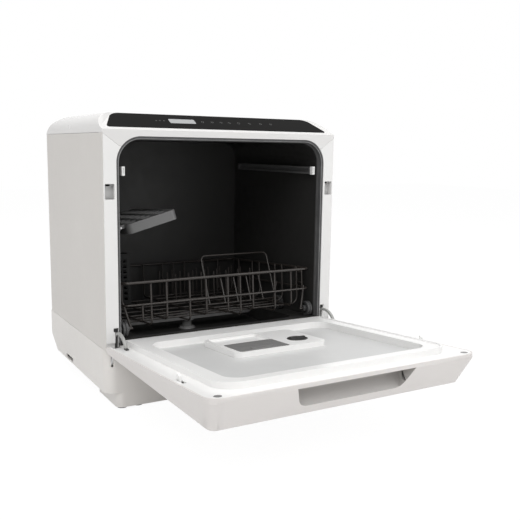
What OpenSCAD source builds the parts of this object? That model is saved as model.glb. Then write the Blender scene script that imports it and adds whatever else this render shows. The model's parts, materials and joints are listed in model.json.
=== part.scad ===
// Countertop dishwasher for about four place settings.
// X is right, Y is towards the back, Z is up. The door lies open at the front,
// and the basket is in the tub. The origin is under the middle of the open machine.

/* [Cabinet] */
// Width over the side panels
cabinet_w = 420; // [400:1:460]
// Depth from the face of the front frame to the back panel
cabinet_d = 330; // [322:1:360]
// Height of the top above the worktop
cabinet_h = 463.4; // [460:0.1:475]
// Height of the seam between the side panels and the top cover
cap_seam_z = 432; // [430:1:434]
// Height of the seam between the side panels and the base
base_seam_z = 98; // [96:1:99]
// Height of the underside of the base behind the plinth
base_bottom_z = 28; // [24:1:32]
// Thickness of the moulded walls
wall = 2.5; // [2:0.1:3]

/* [Control panel] */
// Height of the lower edge of the sloping panel
panel_low_z = 440.2; // [439.5:0.1:443]
// Distance of that edge behind the frame face
panel_low_y = 9.8; // [8:0.1:12]
// Distance of the panel's upper edge behind the frame face
panel_high_y = 51; // [45:1:60]
// Half width of the panel along its lower edge
panel_low_x = 198; // [190:1:200]
// Half width of the panel along its upper edge
panel_high_x = 187; // [170:1:188]

/* [Opening] */
// Half width of the hole in the front frame
hole_x = 188.9; // [188:0.1:189.5]
// Upper edge of that hole
hole_high_z = 427.2; // [426:0.1:428]
// Radius of the hole's corners
hole_r = 40; // [35:1:45]

/* [Door] */
// Distance of the hinge axis in front of the frame face
hinge_out = 12; // [11:0.1:13]
// Height of the hinge axis
hinge_z = 95; // [94:0.1:96]
// Slope of the open door, rising towards its free end
door_slope = 4.45; // [3:0.05:6]
// Distance from the hinge axis to the free end
door_l = 349; // [345:1:352]
// Distance from the hinge axis to the end behind it
door_heel = 12; // [11:0.5:12]
// Distance from the hinge axis to the inner face
door_inner = 11.8; // [11.8:0.1:12]
// Thickness of the door at the hinge
door_thin = 15.5; // [15:0.1:17]
// Thickness of the door at its free end
door_thick = 45.8; // [40:0.1:50]
// Length by which the end face slants under
door_undercut = 24; // [18:1:28]
// Height of the raised part of the liner
plug_h = 9; // [8:0.5:9.5]

/* [Basket] */
// Length of the basket
basket_l = 296; // [280:1:297]
// Half width between the middles of the rim wires
basket_x = 175.5; // [170:0.5:176]
// Height of the rim above the running track
rim_z = 86; // [80:1:92]
// Height of the second loop above the track
loop_z = 50.5; // [45:0.5:55]
// Height of the lowest floor wires above the track
floor_z = 15.6; // [15:0.1:17]
// Thickness of the rim wire
rim_d = 4.6; // [4:0.1:5]
// Thickness of the other wires
wire_d = 3.2; // [2.8:0.1:3.6]
// Radius of the wheels
wheel_r = 13; // [12:0.5:13]
// Half distance between the middles of a wheel pair
wheel_x = 174.2; // [173:0.1:174.5]

/* [Hidden] */

half_w = cabinet_w / 2;
// the open door reaches this far in front of the frame face
door_reach = hinge_out + door_l * cos(door_slope) - door_inner * sin(door_slope);
outlet_out = 12;        // the hose outlets stand out this far at the back
shift_y = (door_reach - cabinet_d - outlet_out) / 2;

side_sheet = 0.8;
frame_d = 18;
screw_x = 199;
screw_z = [112, 265, 418];
frame_back = 2.6;
seal_face = 0.15;
seal_w = 4.2;
track_h = 7.5;
lip_z = [80, 92];       // the gasket's lip along the sill
lip_t = 1.4;
panel_slope = atan2(cabinet_h - panel_low_z, panel_high_y - panel_low_y);
panel_lip = 0.8;        // width of the cover's edge left round the panel
panel_run = norm([cabinet_h - panel_low_z, panel_high_y - panel_low_y]) - 2 * panel_lip;
door_wedge = atan2(door_thick - door_thin, door_l - door_undercut);

sill_low_z = 98.4;      // the frame's hole runs down to here
sill_y = 9.6;           // front edge of the tub's sill, clear of the turning heel
plug_heel = 8;          // the liner's raised part reaches this far behind the axis
heel_flat = 7.5;        // and the flat inner face this far
heel_r = 7;
corner_r = 22;          // corners of the door's free end
plug_end = hole_high_z - seal_w - 2 - hinge_z;
plug_x = hole_x - seal_w - 2.2;
dispenser_y = -112;     // middle of the dispenser on the liner

tub_x = 183;
tub_back = cabinet_d - 12;
tub_roof = 422;
tub_wall = 2;
trough_x = 149;
trough_y = [20, 306];
trough_z = 77;

rim_y0 = 20.8;          // front rim when the basket is in, along the track from the hinge
wheel_y = [9.5, 108, 281];
axle_r = 2;
wheel_gap = 0.3;        // play between the wheels and the track
cup_y = [75, 161, 230];
tower_z = [206, 200.5];
shelf_y = [40, 248];
shelf_z = 172;
shelf_l = 100;
shelf_tilt = 15;
rod_x = -160;
rack_x = [17, 156];
rack_y = 88;
rack_lean = 21;
rack_h = 92;
arm_y = 163;
arm_z = 93;
arm_l = 138;
filter_at = [58, 78];
outlet_z = 73;
inlet_x = -150;
drain_x = -105;
plinth_x = 192;
pad_x = [-180, -154, 154, 180];

module placed() translate([0, shift_y, 0]) children();
// lying door: x across, y = minus the distance from the hinge axis, z = 0 on its inner face
module door_place()
  placed() translate([0, -hinge_out, hinge_z]) rotate([-door_slope, 0, 0])
    translate([0, 0, door_inner]) children();
// basket: y = 0 at the front rim, z = 0 on the running track
module rack_place()
  placed() translate([0, -hinge_out, hinge_z]) rotate([-door_slope, 0, 0])
    translate([0, rim_y0, door_inner + track_h + wheel_gap]) children();
module both() for (s = [0, 1]) mirror([s, 0, 0]) children();

// rectangle from a to b with rounded corners
module rounded(a, b, r) {
  w = b.x - a.x;
  h = b.y - a.y;
  translate([a.x, a.y]) union() {
    translate([r, 0]) square([w - 2 * r, h]);
    translate([0, r]) square([w, h - 2 * r]);
    for (x = [r, w - r], y = [r, h - r]) translate([x, y]) circle(r, $fn = 64);
  }
}
// the front view of something, stood up so that it runs from y0 over depth d
module stood(y0, d) translate([0, y0 + d, 0]) rotate([90, 0, 0]) linear_extrude(d) children();
// a side view (y, z), stretched across x from x0 over width w
module across(x0, w) translate([x0, 0, 0]) rotate([90, 0, 90]) linear_extrude(w) children();
module rod(p, q, r, n = 24) {
  v = q - p;
  l = norm(v);
  translate(p) rotate([0, acos(v.z / l), atan2(v.y, v.x)]) cylinder(l, r, r, $fn = n);
}
// quarter bend of a wire about c, in the plane of the unit vectors given by the rotation
module quarter(c, turn, bend_r, r)
  translate(c) rotate(turn) rotate_extrude(angle = 90, $fn = 48)
    translate([bend_r, 0]) circle(r, $fn = 24);
function arc(c, r, from, to, n) =
  [for (i = [0:n]) let (a = from + (to - from) * i / n) [c.x + r * cos(a), c.y + r * sin(a)]];

// ---------- cabinet ----------
module base_plan(inset, r) {
  x = half_w - inset;
  polygon(concat(
    arc([x - r, 3 + inset + r], r, -90, 0, 10), [[x, cabinet_d - inset], [-x, cabinet_d - inset]],
    arc([-x + r, 3 + inset + r], r, 180, 270, 10)));
}
module plinth_plan(inset) rounded([-plinth_x + inset, 3 + inset], [plinth_x - inset, 104 - inset], 12 - inset);
module base_pan() color("ivory") placed() difference() {
  union() {
    difference() {
      translate([0, 0, base_bottom_z]) linear_extrude(base_seam_z - base_bottom_z) base_plan(0, 18);
      translate([0, 0, base_bottom_z + wall]) linear_extrude(base_seam_z) base_plan(wall, 15.5);
      // the tail sweeps up towards the back
      across(-half_w - 1, cabinet_w + 2)
        polygon([[288, base_bottom_z - 1], [cabinet_d + 1, base_bottom_z - 1], [cabinet_d + 1, 54]]);
    }
    intersection() {
      translate([0, 0, base_bottom_z]) linear_extrude(40) base_plan(0, 18);
      across(-half_w, cabinet_w) polygon([[288, base_bottom_z], [cabinet_d, 54], [cabinet_d, 57],
        [286, base_bottom_z + wall]]);
    }
    difference() {
      translate([0, 0, 3]) linear_extrude(base_bottom_z - 3) plinth_plan(0);
      translate([0, 0, 3 + wall]) linear_extrude(base_bottom_z) plinth_plan(wall);
    }
    for (x = [-168, 168]) translate([x, 270, base_bottom_z]) cylinder(16, 11, 11, $fn = 48);
    // wall of the bay in which the door's heel turns
    translate([-187.2, 4, 70]) cube([374.4, sill_y + lip_t + 2 - 4, base_seam_z - 70]);
  }
  translate([-184.7, -1, 70 + wall]) cube([369.4, 1 + sill_y, 40]);
  // groove of the gasket's lip
  translate([-183.1, sill_y - 1, lip_z[0] - 0.1]) cube([366.2, lip_t + 1.2, lip_z[1] - lip_z[0] + 0.2]);
  translate([0, 0, base_bottom_z - 1]) linear_extrude(wall + 2) plinth_plan(8);
  for (x = [-168, 168]) translate([x, 270, 0]) cylinder(50, 4.05, 4.05, $fn = 32);
  // carrying slots low on both sides
  both() translate([half_w - 5, 187, base_bottom_z + 3]) cube([10, 42, 7]);
  // slots of the hinge brackets
  both() translate([197.3, -1, 71]) cube([3.6, 10, 40]);
  // outlets in the back wall
  translate([inlet_x, cabinet_d + 1, outlet_z]) rotate([90, 0, 0]) cylinder(8, 14, 14, $fn = 48);
  translate([drain_x, cabinet_d + 1, outlet_z]) rotate([90, 0, 0]) cylinder(8, 11, 11, $fn = 48);
}
module front_pads() color("dimgray") placed()
  for (x = pad_x) translate([x, 16, 0]) cylinder(3, 8, 9, $fn = 32);
module rear_feet() color("dimgray") placed() for (x = [-168, 168]) translate([x, 270, 0]) {
  cylinder(6, 13, 12, $fn = 48);
  translate([0, 0, 6]) cylinder(base_bottom_z - 12, 8, 8, $fn = 6);
  cylinder(base_bottom_z + 14, 4, 4, $fn = 32);
}
module side_panel() color("gainsboro") placed() difference() {
  translate([0, 0, base_seam_z + 0.4]) linear_extrude(cap_seam_z - base_seam_z - 0.8) {
    r = 5;
    inner = half_w - side_sheet;
    polygon(concat([[inner, 1.6], [half_w, 1.6]], arc([half_w - r, cabinet_d - r], r, 0, 90, 8),
      [[half_w - 15, cabinet_d], [half_w - 15, cabinet_d - side_sheet]],
      arc([half_w - r, cabinet_d - r], r - side_sheet, 90, 0, 8)));
  }
  back_holes();
}
module back_holes() for (x = [-screw_x, screw_x], z = screw_z)
  translate([x, cabinet_d + 1, z]) rotate([90, 0, 0]) cylinder(6, 2.05, 2.05, $fn = 24);
module left_side_panel() mirror([1, 0, 0]) side_panel();
module right_side_panel() side_panel();

// side view of the top cover, inset by t
function cap_side(t) = concat(
  [[t, cap_seam_z], [t, 437 - t / 2], [panel_low_y + t * 0.7, panel_low_z - t * 0.6]],
  [[panel_high_y + t / 4, cabinet_h - t], [210, cabinet_h - t]],
  [for (a = [10:10:70]) [210 + (118 - t) * sin(a), cabinet_h - 40 + (40 - t) * cos(a)]],
  [[cabinet_d - 1 - t, cap_seam_z]]);
// front view of the top cover, inset by t
function cap_front(t) = concat(
  [[-half_w + t, cap_seam_z]],
  [for (a = [0:10:90]) [-half_w + 30 - (30 - t) * cos(a), cabinet_h - 24 + (24 - t) * sin(a)]],
  [for (a = [90:-10:0]) [half_w - 30 + (30 - t) * cos(a), cabinet_h - 24 + (24 - t) * sin(a)]],
  [[half_w - t, cap_seam_z]]);
module cap_body(t, drop) intersection() {
  translate([0, 0, -drop]) across(-half_w, cabinet_w) polygon(cap_side(t));
  translate([0, 0, -drop]) stood(-1, cabinet_d + 2) polygon(cap_front(t));
}
// the mitre runs from the frame's outer corner down to the hole
module mitre_zone(gap)
  polygon([[-half_w - 1, cap_seam_z + gap], [-half_w + 0.5, cap_seam_z - 1 + gap],
    [-185, 413 + gap], [-140, 400], [140, 400], [185, 413 + gap],
    [half_w - 0.5, cap_seam_z - 1 + gap], [half_w + 1, cap_seam_z + gap]]);
module panel_face(inset, r)
  hull() {
    for (s = [-1, 1]) {
      translate([s * (panel_low_x - r - inset), r + inset]) circle(r, $fn = 32);
      translate([s * (panel_high_x - 5 * r - inset), panel_run - 5 * r - inset]) circle(5 * r, $fn = 64);
    }
  }
module on_panel() placed() translate([0, panel_low_y, panel_low_z]) rotate([panel_slope, 0, 0]) children();
module top_cover() color("whitesmoke") difference() {
  placed() union() {
    difference() {
      cap_body(0, 0);
      cap_body(wall, 0.1);
    }
    // front strip over the opening
    difference() {
      intersection() {
        stood(0, frame_d) union() {
          mitre_zone(0.3);
          translate([-half_w + 0.2, cap_seam_z]) square([cabinet_w - 0.4, 5]);
        }
        stood(0, frame_d) translate([-half_w + 0.2, 400]) square([cabinet_w - 0.4, 37]);
      }
      stood(-1, frame_d + 2) gate(0, 0);
      stood(wall, frame_d) difference() {
        translate([-180, 400]) square([360, 36]);
        gate(-2, 0);
      }
    }
    // pegs of the control board
    for (x = [-112, 22], y = [68, 112]) translate([x, y, 440]) cylinder(cabinet_h - 441, 3, 3, $fn = 24);
  }
  on_panel() translate([0, panel_lip, -1.75]) linear_extrude(6) panel_face(-0.15, 4);
}
module control_panel() color([0.1, 0.1, 0.1]) on_panel() difference() {
  translate([0, panel_lip, -1.75]) linear_extrude(2) panel_face(0, 4);
  translate([0, 0, -0.5]) linear_extrude(3) rounded([-90, 18], [-45, 32], 2);
}
module display_window() color("silver") on_panel()
  translate([0, 0, -0.5]) linear_extrude(0.7) rounded([-89.9, 18.1], [-45.1, 31.9], 1.9);

// the hole in the frame: rounded at the top, open at the bottom; inset all round, cut off at low
module gate(inset, low) {
  x = hole_x - inset;
  r = hole_r - inset;
  top = hole_high_z - inset;
  polygon(concat([[-x, low], [x, low]], arc([x - r, top - r], r, 0, 90, 18),
    arc([-x + r, top - r], r, 90, 180, 18)));
}
frame_x = half_w - side_sheet;
hollow_x = hole_x + 1.4;
hollow_w = half_w - hole_x - 4.4;
mouth = [[192.4, 332.4], [207.4, 355.8]];
module front_frame() color("white") placed() difference() {
  union() {
    stood(0, frame_d) difference() {
      translate([-frame_x, 110]) square([2 * frame_x, 325]);
      mitre_zone(0);
      translate([-half_w, cap_seam_z - 0.4]) square([cabinet_w, 10]);
    }
    // the feet of the uprights stand back, clear of the door's heel
    stood(frame_back, frame_d - frame_back)
      translate([-frame_x, sill_low_z]) square([2 * frame_x, 12]);
  }
  stood(-1, frame_d - 2.8) gate(0, 0);
  stood(-1, frame_d + 2) gate(0, sill_low_z + 8);
  // hollow backs of the uprights
  both() stood(frame_back + wall, frame_d) translate([hollow_x, base_seam_z + 3]) square([hollow_w, 290]);
  // slots for the door straps and the hinge brackets
  both() translate([strap_x - 0.5, -1, 90]) cube([strap_w + 1, 30, 38]);
  both() translate([strap_x - 0.5, -1, 127.3]) cube([8, 14, 6.4]);
  both() stood(-1, 40) translate([197.2, 90]) square([3.8, 12.5]);
  // mouths of the latches
  both() stood(-1, 12) rounded(mouth[0], mouth[1], 1.5);
}
module seal_band(out, inner, low) difference() {
  gate(out, low);
  gate(inner, 0);
}
module door_gasket() color("dimgray") placed() {
  stood(1.6, 12) seal_band(0.02, seal_w, sill_low_z + 0.2);
  stood(seal_face, 1.45) seal_band(1, 2.4, 103);
  stood(10, 3.6) seal_band(seal_w, seal_w + 1.2, 112.8);
  translate([-183, sill_y + 0.1, lip_z[0]]) cube([366, lip_t, lip_z[1] - lip_z[0]]);
}
module above_track(lift)
  translate([0, -hinge_out, hinge_z]) rotate([-door_slope, 0, 0])
    translate([-220, -40, door_inner + track_h + lift]) cube([440, 460, 400]);
module tub() color([0.16, 0.16, 0.16]) placed() difference() {
  union() {
    intersection() {
      stood(frame_d, tub_back + tub_wall - frame_d)
        rounded([-tub_x - tub_wall, 40], [tub_x + tub_wall, tub_roof + tub_wall], 32);
      above_track(-tub_wall);
    }
    translate([-trough_x - tub_wall, frame_d, trough_z - tub_wall])
      cube([2 * (trough_x + tub_wall), trough_y[1] + tub_wall - frame_d, 34]);
    // collar that carries the gasket's tail
    stood(13.6, frame_d - 13.5) seal_band(2.6, 6, 106.6);
    // sill over which the basket rolls out, with its apron
    difference() {
      translate([-184.5, sill_y, sill_low_z]) cube([369, frame_d + 0.1 - sill_y, 14.2]);
      translate([-185, sill_y + tub_wall, 80]) cube([370, 20, 30]);
    }
  }
  intersection() {
    stood(sill_y - 1, tub_back - sill_y + 1)
      rounded([-tub_x, 42], [tub_x, tub_roof], 30);
    above_track(0);
  }
  translate([0, 0, trough_z]) linear_extrude(60)
    rounded([-trough_x, trough_y[0]], [trough_x, trough_y[1]], 24);
  translate([filter_at.x, filter_at.y, 60]) cylinder(40, 36, 36, $fn = 64);
  translate([0, arm_y, 60]) cylinder(40, 9, 9, $fn = 48);
}
module upper_rails() color([0.2, 0.2, 0.2]) placed() both() translate([0, 0, 374.5])
  difference() {
    translate([172.8, 18, -6.3]) cube([10.2, 268, 12.6]);
    translate([171, 24, -3]) cube([6, 256, 6]);
  }
module rail_end_caps() color("white") placed() both()
  translate([172.4, 9.8, 367.4]) difference() {
    cube([5, 8.2, 14.2]);
    translate([1.5, -1, 3]) cube([2, 3, 8.2]);
  }

module back_panel() color("lightgray") placed() difference() {
  union() {
    stood(cabinet_d - side_sheet - 1.2, 1.2)
      translate([-half_w + 6, base_seam_z + 1]) square([cabinet_w - 12, cap_seam_z - base_seam_z - 2]);
    for (x = [-120:60:120]) stood(cabinet_d - 1, 1) rounded([x - 20, 180], [x + 20, 400], 6);
  }
  for (i = [0:5]) stood(cabinet_d - 4, 8) rounded([-60, 118 + i * 9], [60, 122 + i * 9], 1.9);
  back_holes();
}
module back_screws() color("silver") placed()
  for (x = [-screw_x, screw_x], z = screw_z) translate([x, cabinet_d, z]) rotate([90, 0, 0]) {
    translate([0, 0, -1.6]) cylinder(1.6, 2.6, 4, $fn = 24);
    cylinder(6, 2, 2, $fn = 24);
  }
flange_t = 2.5;
module water_inlet() color("white") placed() translate([inlet_x, cabinet_d, outlet_z]) {
  rotate([90, 0, 0]) {
    translate([0, 0, -outlet_out]) cylinder(outlet_out, 13, 13, $fn = 48);
    cylinder(flange_t, 14, 14, $fn = 48);
    cylinder(12, 9, 9, $fn = 48);
  }
  // valve behind the spigot
  translate([-14, -44, -19]) cube([28, 32.1, 13]);
  translate([-8, -22, -8]) cube([16, 11, 10]);
}
module drain_outlet() color("dimgray") placed() translate([drain_x, cabinet_d, outlet_z])
  rotate([90, 0, 0]) {
    translate([0, 0, -outlet_out]) cylinder(outlet_out + 18, 9, 9, $fn = 48);
    cylinder(flange_t, 11, 11, $fn = 48);
  }
module cord_gland() color([0.15, 0.15, 0.15]) placed() translate([165, cabinet_d - side_sheet, 130])
  rotate([90, 0, 0]) difference() {
    translate([0, 0, -3]) cylinder(3, 9, 10, $fn = 48);
    translate([0, 0, -4]) cylinder(6, 3.6, 3.6, $fn = 32);
  }
module sump() color("dimgray") placed() difference() {
  union() {
    translate([filter_at.x, filter_at.y, 38]) cylinder(trough_z - tub_wall - 38, 42, 42, $fn = 64);
    translate([-14, arm_y - 14, 44]) cube([filter_at.x + 14, 28, 22]);
    translate([filter_at.x - 16, filter_at.y, 44]) cube([32, arm_y - filter_at.y + 14, 22]);
  }
  translate([filter_at.x, filter_at.y, 41]) cylinder(50, 35.5, 35.5, $fn = 64);
}
module filter_plate() color("lightgray") placed() translate([filter_at.x, filter_at.y, 0])
  difference() {
    union() {
      translate([0, 0, trough_z]) cylinder(1.6, 44, 42, $fn = 64);
      translate([0, 0, trough_z - 6]) cylinder(6.4, 35, 35.6, $fn = 64);
    }
    translate([0, 0, 60]) cylinder(40, 24.4, 24.4, $fn = 48);
    for (a = [0:20:340], r = [29, 33, 38]) rotate(a) translate([r, 0, 60]) cylinder(40, 1.2, 1.2, $fn = 13);
  }
module filter_cup() color("gray") placed() translate([filter_at.x, filter_at.y, 0]) {
  difference() {
    translate([0, 0, 43]) cylinder(trough_z - 42, 22, 24, $fn = 48);
    translate([0, 0, 46]) cylinder(60, 20, 22, $fn = 48);
    for (a = [0:60:300]) rotate(a) translate([14, -3, 50]) cube([14, 6, 18]);
  }
  translate([0, 0, trough_z + 1.9]) difference() {
    cylinder(2.4, 27, 26, $fn = 48);
    translate([0, 0, -1]) cylinder(8, 21, 21, $fn = 48);
  }
  translate([-21.5, -3, trough_z - 8]) cube([43, 6, 17]);
}
module wash_pump() color("gray") placed() {
  translate([-110, 215, 54]) rotate([0, 90, 0]) cylinder(84, 20, 20, $fn = 48);
  translate([-24, 215, 54]) rotate([0, 90, 0]) cylinder(18, 19, 19, $fn = 48);
  translate([-15, arm_y + 14.5, 44]) cube([10, 40, 18]);
}
module drain_pump() color("gray") placed() translate([filter_at.x + 42, filter_at.y, 52]) {
  rotate([0, 90, 0]) cylinder(20, 15, 15, $fn = 48);
  translate([20, 0, 0]) rotate([0, 90, 0]) cylinder(32, 17, 17, $fn = 48);
}
module heater() color("silver") placed() {
  translate([30, 215, 52]) rotate([0, 90, 0]) cylinder(110, 15, 15, $fn = 48);
  translate([-5, 215, 52]) rotate([0, 90, 0]) cylinder(35, 8, 8, $fn = 32);
}
module control_board() color("seagreen") placed() {
  translate([-120, 60, 438]) cube([150, 60, 2]);
  for (x = [-110:35:0]) translate([x, 75, 440]) cube([20, 24, 9]);
}

// ---------- hinges ----------
arm_x = 194.9;
arm_t = 2.5;
bracket_x = arm_x + arm_t + 0.4;
module hinge_brackets() color("silver") placed() both() {
  across(bracket_x, 2.6) difference() {
    union() {
      translate([-hinge_out, hinge_z]) circle(6, $fn = 48);
      polygon([[-hinge_out, hinge_z - 6], [-hinge_out, hinge_z + 6], [6, hinge_z + 6], [17.8, 98],
        [30, 97.4], [30, 70], [19, 66], [8, 72], [2, hinge_z - 6]]);
    }
    translate([-hinge_out, hinge_z]) circle(3, $fn = 48);
  }
  // ear screwed up under the frame
  translate([bracket_x, 12, sill_low_z - 3]) cube([6, 6, 3]);
}
module hinge_pins() color("gray") placed() both()
  translate([arm_x - 1.5, -hinge_out, hinge_z]) rotate([0, 90, 0]) {
    cylinder(8.2, 3, 3, $fn = 48);
    cylinder(1.2, 4.4, 4.4, $fn = 48);
  }
strap_r = 32;
strap_x = 189.9;
strap_w = 4.5;
module strap_guides() color([0.12, 0.12, 0.12]) placed() both()
  translate([strap_x - 0.4, 3, 127.4]) cube([7.8, 9.9, 6.2]);
module latch_catches() color("lightgray") placed() both() difference() {
  translate([hollow_x, 9.5, mouth[0].y - 2]) cube([hollow_w, 2, mouth[1].y - mouth[0].y + 4]);
  translate([196.4, 9, mouth[1].y - 3.6]) cube([7, 5, 2.8]);
}

// ---------- door ----------
module door_outline(inset, heel) {
  x = half_w - inset;
  r = corner_r - inset;
  y = -door_l + corner_r;
  polygon(concat([[-x, heel]], arc([-x + r, y], r, 180, 270, 12), arc([x - r, y], r, 270, 360, 12),
    [[x, heel]]));
}
// centre of a round of radius r in a corner p whose sides run along the unit vectors u and v
function round_centre(p, u, v, r) = p + (u + v) / norm(u + v) * r / sin(acos(u * v) / 2);
edge_r = 8;              // round of the door's lower edges
rim_band = 6;           // height of the door's upright edge
toe = [-door_l + door_undercut, -door_thick];
toe_in = [cos(door_wedge), sin(door_wedge)];
toe_up = [1.5 - door_undercut, door_thick - rim_band] / norm([1.5 - door_undercut, door_thick - rim_band]);
// side view of the door, shrunk by t; up is how far it goes over the inner face
function door_side(t, up) = concat(
  [[-door_l + t, up], [-door_l + t, -rim_band]],
  arc(round_centre(toe, toe_in, toe_up, edge_r), edge_r - t, 210, 270 - door_wedge, 6),
  arc([door_heel - heel_r, -heel_r - door_thin + 2 * heel_r], heel_r - t, -90 - door_wedge, 0, 8),
  arc([door_heel - heel_r, -heel_r], heel_r - t, 0, 60, 4),
  [[heel_flat - t, up]]);
// front view: upright edge, then drafted sides
door_draft = 14;
function door_front(t, up) = let (low = -door_thick - 10, in = (-low - rim_band) * tan(door_draft))
  [[-half_w + t, up], [-half_w + t, -rim_band], [-half_w + in + t, low], [half_w - in - t, low],
   [half_w - t, -rim_band], [half_w - t, up]];
// what the round along a lower side edge takes away; 0, 0 is the sharp edge
module edge_waste(t) {
  p = [t * (tan(door_draft) - 1), t];
  c = round_centre(p, [-1, 0], [sin(door_draft), cos(door_draft)], edge_r - t);
  polygon(concat(arc(c, edge_r - t, -door_draft, -90, 8), [[c.x, -30], [c.x + 60, -30]],
    [[c.x + 60, c.y - (edge_r - t) * sin(door_draft)]]));
}
edge_run = door_l - door_undercut;
edge_skew = atan(tan(door_draft) * (door_thick - door_thin) / edge_run);
module door_body(t, up) difference() {
  intersection() {
    across(-half_w, cabinet_w) polygon(door_side(t, up));
    stood(-door_l - 1, door_l + door_heel + 2) polygon(door_front(t, up));
    translate([0, 0, -door_thick - 1]) linear_extrude(door_thick + 1 + up)
      door_outline(t, door_heel + 1);
  }
  both() translate([half_w - (door_thin - rim_band) * tan(door_draft), 0, -door_thin])
    rotate([door_wedge, 0, -edge_skew]) stood(-door_l - 20, door_l + 50) edge_waste(t);
}
// finger recess in the end face, g larger all round
module handle_pocket(g) intersection() {
  stood(-door_l - 10, 44 + g) polygon(concat([[-93 - g, -5 + g]], arc([-72, -27], 10 + g, 195, 270, 6),
    arc([72, -27], 10 + g, 270, 345, 6), [[93 + g, -5 + g]]));
  across(-100, 200) polygon(concat([[-door_l - 10, -5 + g], [-door_l + 22 + g, -5 + g]],
    arc([-door_l + 22, -13], 8 + g, 60, -30, 5), [[-door_l + 12, -38 - g], [-door_l - 10, -38 - g]]));
}
module door_cover() color("gainsboro") door_place() difference() {
  union() {
    difference() {
      door_body(0, 0);
      door_body(wall, 1);
    }
    intersection() {
      handle_pocket(2);
      door_body(0, 0);
    }
  }
  handle_pocket(0);
  both() translate([189.2, -9, -30]) cube([15, 40, 40]);
}
// plan of the liner's raised part: round at the free end, square at the heel
module plug_plan(inset, heel, r) {
  x = plug_x - inset;
  y = -plug_end + inset;
  polygon(concat([[-x, heel]], arc([-x + r, y + r], r, 180, 270, 12), arc([x - r, y + r], r, 270, 360, 12),
    [[x, heel]]));
}
module liner_well(grow) rounded([-160 - grow, -plug_end + 22 - grow], [160 + grow, -36 + grow], 24 + grow);
module door_liner() color("white") door_place() difference() {
  union() {
    translate([0, 0, -2]) linear_extrude(2) door_outline(wall, heel_flat - wall);
    translate([0, 0, -2]) linear_extrude(2 + plug_h) plug_plan(0, 0, 34);
    linear_extrude(track_h) plug_plan(0, plug_heel, 34);
    translate([0, 0, -5]) linear_extrude(5) liner_well(2);
  }
  translate([0, 0, track_h]) linear_extrude(5) plug_plan(3.5, plug_heel + 1, 30);
  translate([0, 0, -3]) linear_extrude(20) liner_well(0);
  // hollow under the running tracks
  translate([0, 0, -6]) linear_extrude(6 + track_h - wall) difference() {
    plug_plan(wall, plug_heel - wall, 31);
    liner_well(wall);
  }
  // seat of the dispenser
  translate([0, dispenser_y, -10]) linear_extrude(20) rounded([-74.8, -54.8], [74.8, 54.8], 9.8);
  both() translate([189.2, -9, -30]) cube([15, 40, 40]);
  // slots of the latch hooks
  both() translate([197, -261, -4]) cube([6, 23, 6]);
  both() translate([193.5, -door_l + 12.5, -4]) cylinder(6, 5.05, 5.05, $fn = 32);
}
module door_hinge_arms() color("silver") placed() translate([0, -hinge_out, hinge_z])
  rotate([-door_slope, 0, 0]) both() difference() {
    union() {
      translate([arm_x, 0, 0]) rotate([0, 90, 0]) cylinder(arm_t, 5.6, 5.6, $fn = 48);
      across(arm_x, arm_t) polygon([[0, 5.6], [0, -1.4], [-70, -5.5], [-70, 9.8], [-14, 9.8], [-9, 5.6]]);
    }
    translate([arm_x - 1, 0, 0]) rotate([0, 90, 0]) cylinder(20, 3.05, 3.05, $fn = 48);
  }
// curved check straps, centred on the hinge axis
module door_straps() color("lightgray") placed() translate([0, -hinge_out, hinge_z])
  rotate([-door_slope, 0, 0]) both() difference() {
    translate([strap_x, 0, 0]) rotate([90, 0, 90]) rotate(50) rotate_extrude(angle = 112, $fn = 96)
      translate([strap_r - 2, 0]) square([4, strap_w]);
    translate([180, -80, 0]) cube([30, 80, door_inner + 2.6]);
  }
module strap_feet() color([0.1, 0.1, 0.1]) door_place() both()
  translate([strap_x - 0.3, -35, 0]) cube([strap_w + 0.5, 9, 2.6]);
module latch_hooks() color("whitesmoke") door_place() both() {
  translate([195.6, -264, -7.5]) cube([8.6, 29, 2.5]);
  for (y = [-264, -237.6]) translate([195.6, y, -5.1]) cube([8.6, 2.6, 3.1]);
  across(198.6, 2.8) polygon([[-248, -5.1], [-240, -5.1], [-240, 4.2], [-238.8, 6.4], [-240.4, 8.6], [-246, 6]]);
}
module door_bumpers() color("gray") door_place() both() {
  translate([193.5, -door_l + 12.5, -3]) cylinder(3.1, 5, 5, $fn = 32);
  translate([193.5, -door_l + 12.5, -3.6]) cylinder(1.6, 6.4, 6.4, $fn = 32);
}
module dispenser_place() door_place() translate([0, dispenser_y, 0]) children();
module dispenser_body() color("lightgray") dispenser_place() difference() {
  union() {
    translate([0, 0, -3]) linear_extrude(8) rounded([-78, -58], [78, 58], 12);
    translate([0, 0, -14]) linear_extrude(12) rounded([-74.6, -54.6], [74.6, 54.6], 9.6);
  }
  translate([0, 0, -12]) linear_extrude(30) rounded([-62, -49], [6, -4], 8);
  translate([48, -20, -12]) cylinder(30, 14.1, 14.1, $fn = 48);
  // bed along which the lid slides towards the hinge
  translate([0, 0, 1.6]) linear_extrude(10) rounded([-70, -54.3], [14, 54.3], 4);
}
module dispenser_lid() color("gray") dispenser_place() {
  translate([0, 0, 1.9]) linear_extrude(3.4) rounded([-69.7, -53.8], [13.7, 2.2], 4);
  translate([0, 0, 5]) linear_extrude(1.8) rounded([-48, -46], [-8, -39], 3);
}
module rinse_cap() color("dimgray") dispenser_place() translate([48, -20, 0]) {
  translate([0, 0, -9.8]) cylinder(14.9, 14, 14, $fn = 48);
  translate([0, 0, 5.06]) cylinder(1.2, 16.5, 15.5, $fn = 48);
  translate([-13, -2, 6]) cube([26, 4, 2.3]);
}

// ---------- basket ----------
wire_r = wire_d / 2;
rim_r = rim_d / 2;
weld = 0.04;            // welded wires press this far into each other
inside_x = basket_x - rim_r;    // the side uprights lie inside this
side_x = inside_x - wire_r + weld;
end_y = rim_r + wire_r - weld;
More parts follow.
